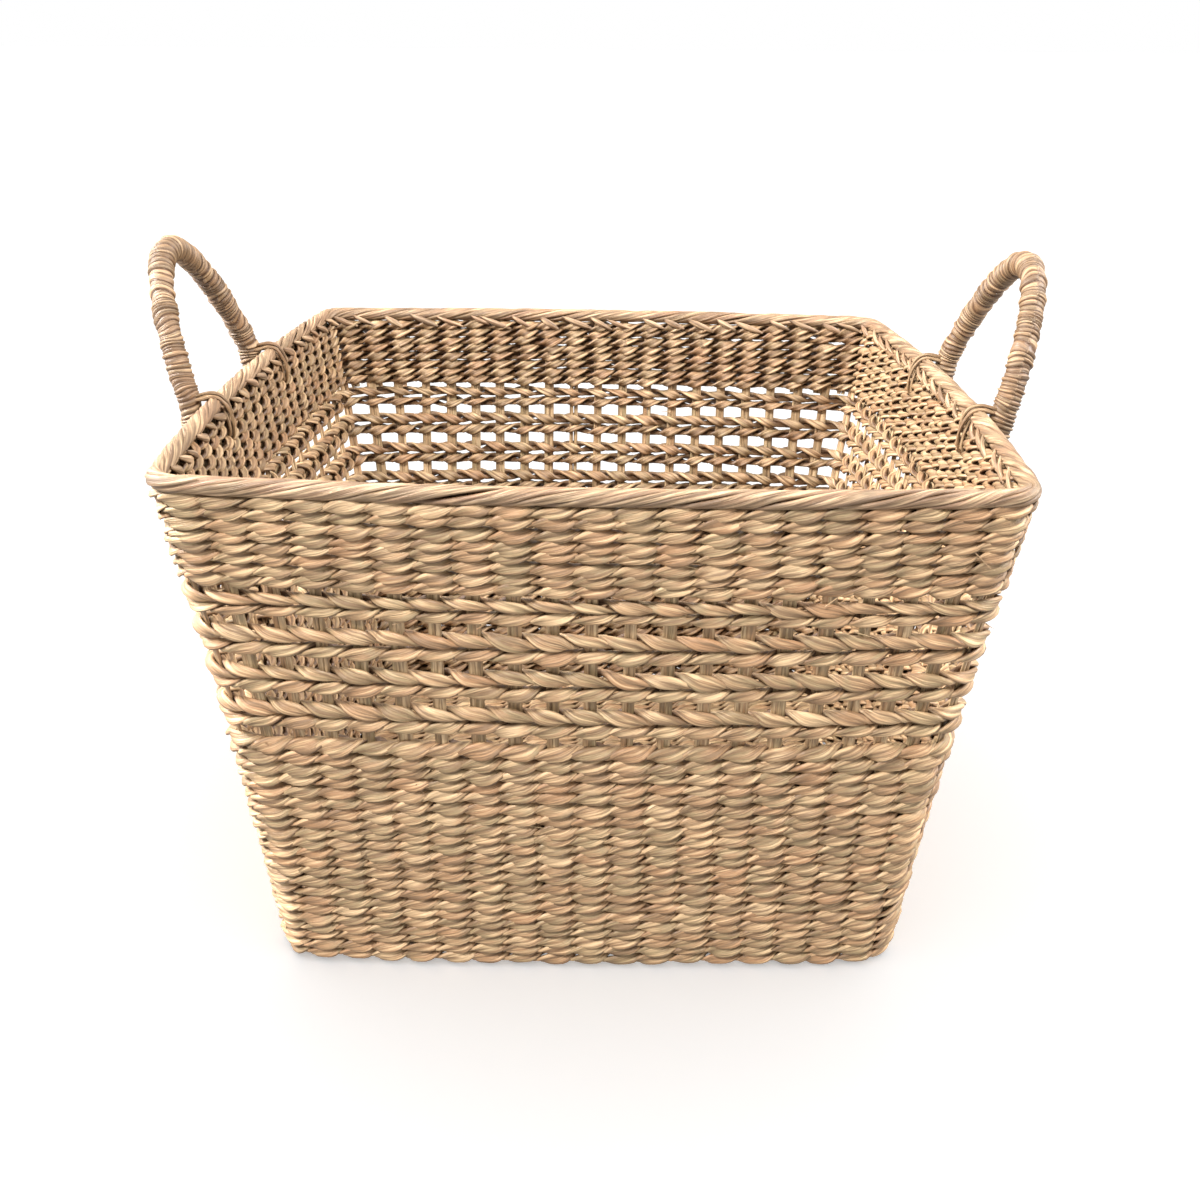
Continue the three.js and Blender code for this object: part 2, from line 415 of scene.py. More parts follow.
@dataclass
class Bundle:
    """Strand surfaces that are gathered into one mesh.

    Every strand is a section carried along a path:
    P = C + side * w/2 * across + face * t/2 * lift, on a grid of path step and section point.
    """

    points: list[np.ndarray] = field(default_factory=list)
    quads: list[np.ndarray] = field(default_factory=list)
    caps: list[np.ndarray] = field(default_factory=list)
    leaf: list[np.ndarray] = field(default_factory=list)
    tone: list[np.ndarray] = field(default_factory=list)
    shade: list[np.ndarray] = field(default_factory=list)
    count: int = 0

    def tube(
        self, grid: np.ndarray, leaf: np.ndarray, tone: np.ndarray, shade: np.ndarray, closed: bool
    ) -> None:
        """Adds one tube, with its ends capped if it has any.

        Args:
            grid: Points, rings by sides by 3.
            leaf: Place along, place across and seed at each point, rings by sides by 3.
            tone: Colour choice at each point, from 0 to 1.
            shade: Painted shade at each point, from 0 to 1, for its depth into the weave.
            closed: True if the last ring joins the first.
        """
        rings, sides = grid.shape[:2]
        self.points.append(grid.reshape(-1, 3))
        self.leaf.append(leaf.reshape(-1, 3))
        self.tone.append(tone.ravel())
        self.shade.append(shade.ravel())
        self.quads.append(tube_faces(rings, sides, closed) + self.count)
        if not closed:
            ring = np.arange(sides)
            self.caps.append(np.stack([ring, ring[::-1] + (rings - 1) * sides]) + self.count)
        self.count += rings * sides

    def strand(
        self,
        centre: np.ndarray,
        up: np.ndarray,
        width: np.ndarray,
        thick: np.ndarray,
        tone: np.ndarray,
        shade: np.ndarray,
        seed: float,
        section: Section = OVAL,
        closed: bool = False,
    ) -> None:
        """Adds one strand.

        Args:
            centre: Path, n by 3.
            up: Direction that the face looks, n by 3.
            width: Width across the face, n.
            thick: Thickness, n.
            tone: Colour choice from 0 to 1, n.
            shade: Painted shade from 0 to 1, for depth into the weave, n.
            seed: Number that tells this strand from others.
            section: Outline of the strand.
            closed: True if the path is a ring.
        """
        if closed:
            tangent = np.roll(centre, -1, 0) - np.roll(centre, 1, 0)
        else:
            tangent = np.gradient(centre, axis=0)
        tangent = unit(tangent)
        side = unit(np.cross(up, tangent))
        face = np.cross(tangent, side)
        w = (width / 2)[:, None] * section.across[None, :]
        t = (thick / 2)[:, None] * section.lift[None, :]
        grid = centre[:, None] + side[:, None] * w[..., None] + face[:, None] * t[..., None]
        along = np.broadcast_to(run_length(centre)[:, None], w.shape)
        leaf = np.stack([along, w + np.sign(t) * FACE_STEP, np.full(w.shape, seed)], -1)
        # painted shade: the strand's shade plus the outline's shade at each point
        depth = shade[:, None] + section.depth[None, :]
        self.tube(grid, leaf, np.broadcast_to(tone[:, None], w.shape), depth, closed)

    def mesh(self, name: str) -> bpy.types.Object:
        """Makes the Blender object from everything added so far.

        Args:
            name: Name of the object.

        Returns:
            The new object, at the origin, smooth shaded.
        """
        points = np.concatenate(self.points)
        loops = [q.ravel() for q in self.quads]
        sizes = [np.full(len(q), 4) for q in self.quads]
        for cap in self.caps:
            loops.append(cap[:, ::-1].ravel())
            sizes.append(np.full(len(cap), cap.shape[1]))
        index, size = np.concatenate(loops), np.concatenate(sizes)
        mesh = bpy.data.meshes.new(name)
        mesh.vertices.add(len(points))
        mesh.vertices.foreach_set("co", points.astype(np.float32).ravel())
        mesh.loops.add(len(index))
        mesh.loops.foreach_set("vertex_index", index.astype(np.int32))
        mesh.polygons.add(len(size))
        starts = np.concatenate([[0], np.cumsum(size)[:-1]])
        mesh.polygons.foreach_set("loop_start", starts.astype(np.int32))
        mesh.update(calc_edges=True)
        mesh.validate()
        mesh.shade_smooth()
        for label, kind, target, values in (
            ("leaf", "FLOAT_VECTOR", "vector", self.leaf),
            ("tone", "FLOAT", "value", self.tone),
            ("shade", "FLOAT", "value", self.shade),
        ):
            attribute = mesh.attributes.new(label, kind, "POINT")
            attribute.data.foreach_set(target, np.concatenate(values).astype(np.float32).ravel())
        piece = bpy.data.objects.new(name, mesh)
        bpy.context.scene.collection.objects.link(piece)
        return piece


def finish_piece(piece: bpy.types.Object, material: bpy.types.Material, slot: str, *nodes: str) -> None:
    """Dresses a piece and hides the solids that it replaces.

    Args:
        piece: The piece.
        material: Its finish.
        slot: The record's slot that the finish belongs to; not used.
        nodes: Solids that it replaces, if any.
    """
    piece.data.materials.append(material)
    if nodes:
        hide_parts(*nodes)
    LOG.info("%s: %d faces", piece.name, len(piece.data.polygons))


def basket_piece(
    bundle: Bundle, name: str, material: bpy.types.Material, slot: str, *nodes: str
) -> None:
    """Makes and dresses a piece that stays with the basket.

    Args:
        bundle: Its strands.
        name: Its name.
        material: Its finish.
        slot: The record's slot that the finish belongs to.
        nodes: Solids that it replaces, if any.
    """
    piece = bundle.mesh(name)
    finish_piece(piece, material, slot, *nodes)
    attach(piece, "basket")


# Finishes


@dataclass
class NodeMaker:
    """Adds nodes to a material and joins them."""

    tree: bpy.types.NodeTree

    def node(
        self, kind: str, inputs: dict[str | int, object], output: str | int = 0, **options: object
    ) -> bpy.types.NodeSocket:
        """Adds one node.

        Args:
            kind: Kind of shader node.
            inputs: A socket to join, or a plain value, for each input.
            output: The output that is wanted.
            options: The node's own options.

        Returns:
            The output.
        """
        node = self.tree.nodes.new(f"ShaderNode{kind}")
        for option, value in options.items():
            setattr(node, option, value)
        for place, value in inputs.items():
            if isinstance(value, bpy.types.NodeSocket):
                self.tree.links.new(value, node.inputs[place])
            else:
                node.inputs[place].default_value = value
        return node.outputs[output]

    def noise(
        self, leaf: bpy.types.NodeSocket, scale: tuple[float, float, float], detail: float
    ) -> bpy.types.NodeSocket:
        """Adds noise on the strand's own coordinates.

        Args:
            leaf: Place along, place across and seed of the strand.
            scale: Stretch of each of them.
            detail: Number of finer layers.

        Returns:
            The noise, from 0 to 1.
        """
        stretched = self.node("VectorMath", {0: leaf, 1: scale}, operation="MULTIPLY")
        inputs = {"Vector": stretched, "Scale": 1.0, "Detail": detail, "Roughness": 0.6}
        return self.node("TexNoise", inputs, "Fac")

    def remap(self, value: bpy.types.NodeSocket, *limits: float) -> bpy.types.NodeSocket:
        """Value moved from between two limits to between two others, and held at both ends."""
        names = ("From Min", "From Max", "To Min", "To Max")
        return self.node("MapRange", {"Value": value, **dict(zip(names, limits))}, "Result")

    def mix(
        self, amount: bpy.types.NodeSocket, under: bpy.types.NodeSocket, over: tuple[float, ...]
    ) -> bpy.types.NodeSocket:
        """Colour under, with a plain colour over it by amount."""
        inputs = {"Factor": amount, "A": under, "B": (*over, 1)}
        return self.node("Mix", inputs, "Result", data_type="RGBA")


@dataclass(frozen=True)
class GrassFinish:
    """Dried grass leaf: streaks along the leaf, mottling, painted highlights and shade along folds, and
    brown painted shade in the depths of the weave.

    Attributes:
        name: Name of the material.
        straw: Main colour.
        green: Greyish green leaves.
        tan: Pinkish tan leaves.
        pale: Palest leaves.
        deep: Colour of the painted shade in the depths of the weave.
        roughness: Surface roughness.
        streak: Strength of the lengthwise streaks in the colour.
        relief: Strength of the fibre bump.
        fibre: Fibres per metre across the leaf.
    """

    name: str
    straw: tuple[float, float, float] = (0.40, 0.235, 0.118)
    green: tuple[float, float, float] = (0.29, 0.212, 0.108)
    tan: tuple[float, float, float] = (0.38, 0.205, 0.098)
    pale: tuple[float, float, float] = (0.54, 0.37, 0.205)
    deep: tuple[float, float, float] = (0.07, 0.028, 0.008)
    roughness: float = 0.5
    streak: float = 0.6
    relief: float = 0.9
    fibre: float = 1900.0

    def build(self) -> bpy.types.Material:
        """Builds the node material.

        The colour is a ramp over tone - 0.45 + 0.9 * mottling, darkened between the fibres, with a
        painted highlight on some folds and painted shade along others, and brown painted shade where
        the weave is deep.

        Returns:
            The material.
        """
        material = bpy.data.materials.new(self.name)
        material.use_nodes = True
        material.node_tree.nodes.clear()
        make = NodeMaker(material.node_tree)
        leaf = make.node("Attribute", {}, "Vector", attribute_name="leaf")
        tone = make.node("Attribute", {}, "Fac", attribute_name="tone")
        shade = make.node("Attribute", {}, "Fac", attribute_name="shade")
        mottle = make.noise(leaf, (55.0, 420.0, 7.3), 3.0)
        fibres = make.noise(leaf, (70.0, self.fibre, 3.1), 4.0)
        folds = make.noise(leaf, (38.0, 640.0, 11.7), 2.0)
        shifted = make.node("Math", {0: tone, 1: -0.45}, operation="ADD")
        choice = make.node("Math", {0: mottle, 1: 0.9, 2: shifted}, operation="MULTIPLY_ADD")
        colour = make.node("ValToRGB", {"Fac": choice}, "Color")
        ramp = colour.node.color_ramp
        ramp.elements[0].position, ramp.elements[1].position = 0.0, 1.0
        ramp.elements[0].color, ramp.elements[1].color = (*self.tan, 1), (*self.pale, 1)
        for place, stop in ((0.3, self.straw), (0.58, self.green), (0.8, self.straw)):
            ramp.elements.new(place).color = (*stop, 1)
        # dark colours the streaks between the fibres and also the painted shade along folds; light is a
        # painted highlight
        dark = tuple(0.45 * v for v in self.straw)
        light = tuple(min(1.0, 1.25 * v) for v in self.pale)
        colour = make.mix(make.remap(fibres, 0.38, 0.62, self.streak, 0.0), colour, dark)
        # painted highlight along some folds
        colour = make.mix(make.remap(folds, 0.54, 0.64, 0.0, 0.6), colour, light)
        # painted shade along other folds
        colour = make.mix(make.remap(folds, 0.46, 0.39, 0.0, 0.85), colour, dark)
        # painted shade: the deep brown, mixed in by the shade attribute
        colour = make.mix(make.remap(shade, 0.2, 0.85, 0.0, 0.92), colour, self.deep)
        height = make.node("Math", {0: fibres, 1: folds}, operation="ADD")
        relief = {"Strength": self.relief, "Distance": 0.6 * MM, "Height": height}
        rough = make.remap(fibres, 0.3, 0.7, self.roughness + 0.12, self.roughness - 0.1)
        surface = {
            "Base Color": colour,
            "Roughness": rough,
            "Normal": make.node("Bump", relief, "Normal"),
            "Specular IOR Level": 0.45,
        }
        output = make.tree.nodes.new("ShaderNodeOutputMaterial")
        make.tree.links.new(make.node("BsdfPrincipled", surface), output.inputs["Surface"])
        return material


@dataclass
class Finishes:
    """Every finish of the basket, built once."""

    weft: bpy.types.Material
    stake: bpy.types.Material
    rim: bpy.types.Material
    wrap: bpy.types.Material
    cord: bpy.types.Material

    @classmethod
    def make(cls) -> "Finishes":
        """Builds all the materials.

        Returns:
            The finishes.
        """
        stake = GrassFinish(
            "stake_grass", straw=(0.39, 0.245, 0.125), pale=(0.50, 0.355, 0.205), fibre=1500.0
        )
        rim = GrassFinish(
            "rim_grass",
            straw=(0.26, 0.152, 0.082),
            green=(0.225, 0.152, 0.082),
            tan=(0.24, 0.132, 0.072),
            pale=(0.41, 0.28, 0.165),
        )
        wrap = GrassFinish(
            "wrap_grass",
            straw=(0.225, 0.13, 0.065),
            green=(0.185, 0.125, 0.066),
            tan=(0.20, 0.105, 0.05),
            pale=(0.36, 0.235, 0.13),
            fibre=2600.0,
        )
        cord = GrassFinish(
            "lashing_cord",
            straw=(0.22, 0.125, 0.058),
            green=(0.20, 0.125, 0.06),
            tan=(0.18, 0.09, 0.04),
            pale=(0.34, 0.22, 0.115),
            fibre=3000.0,
        )
        return cls(*(f.build() for f in (GrassFinish("weft_grass"), stake, rim, wrap, cord)))


# Woven wall


@dataclass(frozen=True)
class RowStyle:
    """How the two strands of one weft row are twisted round the stakes.

    Attributes:
        twist: Lean of the strands.
        height: Height of the row.
        width: Width of a strand, as a share of the height.
        thick: Thickness of a strand, as a share of the height.
        swing: Rise of a strand where it crosses the other, as a share of the height.
    """

    twist: Twist
    height: float
    width: float = 1.3
    thick: float = 0.46
    swing: float = 0.26


def turn_angle(q: np.ndarray, strand: int) -> np.ndarray:
    """Angle of a strand round its row, pi a stake, with a dwell inside and a longer one outside."""
    x = math.pi * (q + strand)
    return x - 0.12 * np.sin(2 * x) - 0.34 * np.sin(x)


def stay(c: np.ndarray) -> np.ndarray:
    """Cosine c made to stay longer near -1 and 1: tanh(1.3 c) / tanh(1.3)."""
    return np.tanh(1.3 * c) / math.tanh(1.3)


@dataclass
class WeftZone:
    """A zone of weft rows: each is two strands twisted about each other round every stake.

    Stakes stand at whole numbers of q. With t the turn angle, a strand lies a * stay(cos t)
    outwards from the middle of the wall and b * sin t up, and its rounded face turns with it,
    from outwards through up to inwards. The other strand of the row is half a turn behind. The
    face also looks a little upwards, so that its lower edge stands out over the row below.

    Attributes:
        name: Name of the piece.
        top: Height of its upper edge.
        rows: Its rows, from the top.
        nodes: Solids that it stands for.
        seed: Seed of its random changes.
        samples: Path steps a stake.
        leaves: Leaves that a strand is made of, end to end.
        face_up: How far the face looks upwards.
        uneven: Largest change of a row's height, as a share of it.
    """

    name: str
    top: float
    rows: list[RowStyle]
    nodes: tuple[str, ...]
    seed: int
    samples: int = 8
    leaves: int = 9
    face_up: float = 0.22
    uneven: float = 0.1

    def build(self, finishes: Finishes) -> None:
        """Builds the zone as one piece and dresses it.

        Args:
            finishes: Every finish.
        """
        rng = np.random.default_rng(self.seed)
        bundle = Bundle()
        change = rng.uniform(-self.uneven, self.uneven, len(self.rows))
        heights = np.array([row.height for row in self.rows]) * (1 + change)
        heights *= sum(row.height for row in self.rows) / heights.sum()
        middles = self.top - np.cumsum(heights) + heights / 2
        for row, z in zip(self.rows, middles):
            self.add_row(bundle, row, float(z), rng)
        basket_piece(bundle, self.name, finishes.weft, WEFT_SLOT, *self.nodes)

    def add_row(self, bundle: Bundle, row: RowStyle, z: float, rng: np.random.Generator) -> None:
        """Adds both strands of one row.

        Args:
            bundle: Where the strands go.
            row: How the row is twisted.
            z: Height of its middle.
            rng: Seeded generator.
        """
        spaces = WALL.corner_spaces(z)
        total = WALL.stakes(spaces)
        rise = row.twist.value
        for strand in (0, 1):
            # a strand's two ends meet behind a stake, at a different one for each strand
            first = 2 * int(rng.integers(0, total // 2)) + 1 + strand
            q = np.mod(np.arange(total * self.samples) / self.samples + first, total)
            wobble = Wobble(rng, total, q)
            row_rng = np.random.default_rng(int(z * 1e6))
            drift = Wobble(row_rng, 12, q / total * 12)(0.35 * MM)
            t = turn_angle(q, strand)
            c, s = np.cos(t), np.sin(t)
            thick = row.height * row.thick * (1 + wobble(0.09))
            out = (WALL.thickness - row.height * row.thick) / 2 * stay(c) + wobble(0.22 * MM)
            level = z + drift + rise * row.swing * row.height * s + wobble(0.07 * row.height)
            centre, normal = WALL.around(q + wobble(0.06), level, spaces, out)
            lift = rise * s + self.face_up * c**2 + wobble(0.14)
            face = unit(normal * c[:, None] + lift[:, None] * UP)
            width = row.height * row.width * (1 - 0.22 * s**2) * (1 + wobble(0.11))
            leaf_tone = rng.random(self.leaves)
            which = (np.floor(q + 0.5) * self.leaves // total).astype(int) % self.leaves
            tone = 0.5 * leaf_tone[which] + 0.25 + wobble(0.27)
            # painted shade: slight where the two strands cross, stronger on the inner side of the wall
            shade = 0.1 * s**2 + 0.33 * np.clip(-1.4 * c, 0, 1)
            seed = float(rng.random() * SEEDS)
            bundle.strand(WALL.settle(centre), face, width, thick, tone, shade, seed, LEAF, True)


@dataclass
class Stakes:
    """Flat folded leaves: up one wall, across the base and up the opposite wall, and up corners.

    Attributes:
        per_way: Long stakes each way.
        leaf_width: Width of one leaf.
        leaf_thick: Its thickness.
        leaf_shift: How far a leaf lies to its side of the stake, as a share of its width.
        top: Height at which a stake ends, under the rim.
        bend: Radius of the bend from the wall into the base.
        levels: Height at which the stakes of each way cross the base.
        fans: Spaces round the corner, lower end and upper end of each fan of corner stakes.
        deep: Lower end of every second stake of the lower fan.
    """

    per_way: int = 15
    leaf_width: float = 3.5 * MM
    leaf_thick: float = 1.4 * MM
    leaf_shift: float = 0.37
    top: float = 250 * MM
    bend: float = 7 * MM
    levels: tuple[tuple[Way, float], ...] = ((Way.FRONT_BACK, 3.9 * MM), (Way.LEFT_RIGHT, 6.2 * MM))
    fans: tuple[tuple[int, float, float], ...] = (
        (MIDDLE_SPACES, 112 * MM, 214 * MM),
        (RIM_SPACES, 207 * MM, 250 * MM),
    )
    deep: float = 30 * MM

    def build(self, finishes: Finishes) -> None:
        """Builds one piece for each long stake and one for each corner's stakes.

        Args:
            finishes: Every finish.
        """
        rng = np.random.default_rng(71)
        for number in range(self.per_way):
            for way, level in self.levels:
                self.long_stake(way, number, level, rng, finishes)
        for quarter in range(4):
            self.corner_stakes(quarter, rng, finishes)

    def leaves(
        self, bundle: Bundle, centre: np.ndarray, up: np.ndarray, rng: np.random.Generator
    ) -> None:
        """Adds the two leaves of one stake, side by side and slightly overlapping.

        Args:
            bundle: Where they go.
            centre: Path of the stake.
            up: Direction that its face looks.
            rng: Seeded generator.
        """
        n = len(centre)
        wobble = Wobble(rng, 12, np.linspace(0, 12, n), False)
        side = unit(np.cross(up, unit(np.gradient(centre, axis=0))))
        for hand in (-1, 1):
            shift = hand * (self.leaf_shift + wobble(0.04)) * self.leaf_width
            depth = hand * 0.22 * MM + wobble(0.12 * MM)
            path = centre + side * shift[:, None] + up * depth[:, None]
            width = self.leaf_width * (1 + wobble(0.12)) * float(rng.uniform(0.8, 1.15))
            thick, shade = np.full(n, self.leaf_thick), np.full(n, 0.1)
            tone = np.clip(rng.random() + wobble(0.1), 0, 1)
            seed = float(rng.random() * SEEDS)
            bundle.strand(WALL.settle(path), up, width, thick, tone, shade, seed)

    def long_stake(
        self, way: Way, number: int, level: float, rng: np.random.Generator, finishes: Finishes
    ) -> None:
        """Builds one stake: a path across the base and up both walls, with a quarter-round bend.

        Args:
            way: Way in which it crosses the base.
            number: Which stake of that way, from 0.
            level: Height at which it crosses the base.
            rng: Seeded generator.
            finishes: Every finish.
        """
        offset = (number - (self.per_way - 1) / 2) * WALL.pitch
        bend = self.bend
        angle = np.linspace(0, math.pi / 2 - WALL.tilt, 5)
        z_wall = np.linspace(self.top, level + bend * 1.2, 26)
        reach = WALL.reach(offset, z_wall)
        wall = np.stack([-reach, z_wall], -1)
        foot = float(reach[-1])
        turn = [-foot + bend * (1 - np.cos(angle)), level + bend * (1 - np.sin(angle))]
        turn = np.stack(turn, -1)[1:]
        across = np.stack([np.linspace(turn[-1, 0], 0, 10)[1:], np.full(9, level)], -1)
        half = np.concatenate([wall, turn, across])
        line = np.concatenate([half, half[:-1][::-1] * np.array([-1, 1])])
        tangent = unit(np.gradient(line, axis=0))
        zero = np.zeros(len(line))
        centre = [line[:, 0], zero + offset, line[:, 1]]
        up = [tangent[:, 1], zero, -tangent[:, 0]]
        order = [1, 0, 2] if way is Way.FRONT_BACK else [0, 1, 2]
        centre, up = np.stack(centre, -1)[:, order], np.stack(up, -1)[:, order]
        bundle = Bundle()
        self.leaves(bundle, centre, up, rng)
        label = f"{way.value}_{number + 1:02d}"
        basket_piece(bundle, f"stake_leaf_{label}", finishes.stake, STAKE_SLOT, f"stake_{label}")

    def corner_stakes(self, quarter: int, rng: np.random.Generator, finishes: Finishes) -> None:
        """Builds the stakes that start in one corner and fan out to the rim.

        Args:
            quarter: Which corner, anticlockwise from the front right.
            rng: Seeded generator.
            finishes: Every finish.
        """
        bundle = Bundle()
        for spaces, low, high in self.fans:
            for k in range(1, spaces):
                end = self.deep if spaces == MIDDLE_SPACES and k % 2 else low
                z = np.linspace(high, end, 24)
                q = np.full_like(z, quarter * (WALL.straight + spaces) + WALL.straight + k)
                centre, normal = WALL.around(q, z, spaces, np.zeros_like(z))
                self.leaves(bundle, centre, normal, rng)
        name, node = f"stake_leaves_corner_{quarter + 1}", f"stake_corner_{quarter or 4}"
        basket_piece(bundle, name, finishes.stake, STAKE_SLOT, node)


@dataclass
class RimBorder:
    """Rolled rim: five strands laid round each other in a rope that follows the rim.

    Each strand's centre is the rim's line plus a * (cos(w) outwards + sin(w) upwards), where w
    grows by a whole number of turns round the rim.

    Attributes:
        strands: Strands in the rope.
        turns: Turns of the rope round the whole rim.
        radius: Distance of a strand from the rope's middle.
        width: Width of a strand.
        thick: Its thickness.
        roll: Half the thickness of the rope.
        steps: Path steps round the rim.
        seam: Place of the first strand's ends, in turns, so that all ends lie on the inner side.
    """

    strands: int = 5
    turns: int = 17
    radius: float = 2.5 * MM
    width: float = 4.2 * MM
    thick: float = 2.7 * MM
    roll: float = 4.6 * MM
    steps: int = 660
    seam: float = 2.65

    def line(self, u: np.ndarray) -> tuple[np.ndarray, np.ndarray]:
        """Finds the rim's line, even by length.

        Args:
            u: Share of the way round.

        Returns:
            Points and level outward normals.
        """
        middle = WALL.thickness / 2 - self.roll + WALL.tuck
        fine = np.linspace(0, WALL.stakes(RIM_SPACES), 4001)
        path, _ = WALL.around(fine, WALL.rim_z, RIM_SPACES, middle)
        length = run_length(path)
        q = np.interp(np.mod(u, 1) * length[-1], length, fine)
        point, normal = WALL.around(q, WALL.rim_z, RIM_SPACES, middle)
        normal[..., 2] = 0
        return point, unit(normal)

    def build(self, finishes: Finishes) -> None:
        """Builds the rope and the row of stitches under it.

        Args:
            finishes: Every finish.
        """
        rng = np.random.default_rng(5)
        bundle = Bundle()
        for strand in range(self.strands):
            first = (3 * strand + self.seam - strand / self.strands) / self.turns
            u = np.mod(np.arange(self.steps) / self.steps + first, 1)
            point, normal = self.line(u)
            w = TURN * (self.turns * u + strand / self.strands) + Wobble(rng, 60, u * 60)(0.16)
            a = self.radius * (1 + Wobble(rng, 80, u * 80)(0.05))
            radial = normal * np.cos(w)[:, None] + UP * np.sin(w)[:, None]
            centre = WALL.settle(point + radial * a[:, None])
            wobble = Wobble(rng, 90, u * 90)
            width = self.width * (1 + wobble(0.12))
            thick = self.thick * (1 + wobble(0.1))
            tone = 0.5 + Wobble(rng, 40, u * 40)(0.25)
            shade = np.zeros_like(u)
            bundle.strand(centre, radial, width, thick, tone, shade, strand * 3.7, LEAF, True)
        basket_piece(bundle, "rim_rope", finishes.rim, RIM_SLOT, "rim_border")
        self.stitches(finishes)

    def stitches(self, finishes: Finishes) -> None:
        """Builds slanting stitches on the inside, where each stake's end is tucked in.

        A stitch falls evenly and stands out from the wall by sin(pi f), f being the share of
        its length.

        Args:
            finishes: Every finish.
        """
        rng = np.random.default_rng(6)
        bundle = Bundle()
        f = np.linspace(0, 1, 9)
        bow = np.sin(math.pi * f)
        for k in range(WALL.stakes(RIM_SPACES)):
            reach, drop = rng.uniform(0.7, 1.3), rng.uniform(5.0, 7.5) * MM
            q = k + 0.15 * rng.standard_normal() - reach * (f - 0.5)
            z = WALL.rim_z - 0.5 * MM - drop * f + 0.5 * MM * rng.standard_normal()
            out = -WALL.thickness / 2 + (0.9 - 1.3 * bow) * MM
            centre, normal = WALL.around(q, z, RIM_SPACES, out)
            width = 3.9 * MM * (0.35 + 0.65 * bow) * rng.uniform(0.7, 1.2)
            thick = 2.0 * MM * (0.5 + 0.5 * bow)
            tone = np.full(len(f), rng.random())
            # painted shade at the ends of a stitch, where it tucks into the wall
            shade, seed = 0.4 * (1 - bow), rng.random() * SEEDS
            centre = WALL.settle(centre)
            bundle.strand(centre, -normal, width, thick, tone, shade, seed, SMALL_OVAL)
        basket_piece(bundle, "rim_stitches", finishes.rim, RIM_SLOT)


@dataclass
class BaseWeave:
    """Flat woven base: weft rows from left to right, twisted round the stakes as in the walls.

    Attributes:
        row: Height of a row.
        middle: Height of the middle of the base.
        thick: Thickness of a strand.
        clear: Room left for a strand's edges where it turns over.
        inset: How far the base ends inside the wall's outside.
        tighten: How much smaller its corner radius is than the wall's.
    """

    row: float = 6.0 * MM
    middle: float = 5.05 * MM
    thick: float = 2.7 * MM
    clear: float = 1.0 * MM
    inset: float = 8.5 * MM
    tighten: float = 6 * MM

    def build(self, finishes: Finishes) -> None:
        """Builds the base as one piece.

        With t the turn angle, the height of a strand is middle + a * stay(cos t) and its place
        along Y swings by sin t; its rounded face turns with it.

        Args:
            finishes: Every finish.
        """
        rng = np.random.default_rng(9)
        bundle = Bundle()
        limit = WALL.base_half - self.inset
        corner = WALL.base_corner - self.tighten
        rows = int(2 * limit / self.row)
        for k in range(rows):
            y = (k - (rows - 1) / 2) * self.row
            over = max(0.0, abs(y) - (limit - corner))
            half = limit - corner + math.sqrt(max(corner**2 - over**2, 0.0))
            q_end = half / WALL.pitch
            n = int(2 * q_end * 6)
            q = np.linspace(-q_end, q_end, n)
            wave = Wobble(rng, 6, (q + q_end) / (2 * q_end) * 6, False)(0.3 * MM)
            wobble = Wobble(rng, int(2 * q_end) + 2, q - q[0], False)
            for strand in (0, 1):
                t = turn_angle(q, strand + k)
                c, s = np.cos(t), np.sin(t)
                z = self.middle + (self.middle - self.thick / 2 - self.clear) * stay(c)
                centre = np.stack([q * WALL.pitch, y + wave + 0.25 * self.row * s, z], -1)
                up = np.stack([np.zeros(n), s, c], -1)
                width = self.row * 1.16 * (1 - 0.22 * s**2) * (1 + wobble(0.08))
                tone = 0.5 + 0.18 * rng.standard_normal() + wobble(0.13)
                # painted shade where the two strands cross
                thick, shade = np.full(n, self.thick), 0.12 * s**2
                seed = float(rng.random() * SEEDS)
                bundle.strand(WALL.settle(centre), up, width, thick, tone, shade, seed, LEAF)
        nodes = ("base_mat_outer", "base_mat_inner")
        basket_piece(bundle, "base_weave", finishes.weft, WEFT_SLOT, *nodes)


@dataclass
class StrayFibres:
    """Short split fibres that stand off the weave here and there.

    Each is a thin strand that leaves the wall along it and curls out by lift * f^2, f being the
    share of its length.
    """

    count: int = 110
    length: float = 9 * MM
    lift: float = 2.6 * MM
    width: float = 0.7 * MM

    def build(self, finishes: Finishes) -> None:
        """Builds all the fibres as one piece.

        Args:
            finishes: Every finish.
        """
        rng = np.random.default_rng(83)
        bundle = Bundle()
        f = np.linspace(0, 1, 7)
        for _ in range(self.count):
            z = rng.uniform(14, 246) * MM
            side = 1.0 if rng.random() < 0.7 else -1.0
            turn = rng.uniform(-0.9, 0.9)
            run = rng.uniform(0.6, 1.3) * self.length * f
            q = rng.uniform(0, WALL.stakes(MIDDLE_SPACES)) + run * math.cos(turn) / WALL.pitch
            lift = self.lift * rng.uniform(0.2, 1.1) * f**2
            out = side * (WALL.thickness / 2 - 0.4 * MM + lift)
            centre, normal = WALL.around(q, z + run * math.sin(turn), MIDDLE_SPACES, out)
            width = self.width * (1.05 - f)
            tone, shade = np.full(len(f), rng.random()), np.zeros(len(f))
            seed, centre = rng.random() * SEEDS, WALL.settle(centre)
            bundle.strand(centre, normal, width, 0.5 * width, tone, shade, seed, SMALL_OVAL)
        basket_piece(bundle, "stray_fibres", finishes.weft, WEFT_SLOT)


# Handles


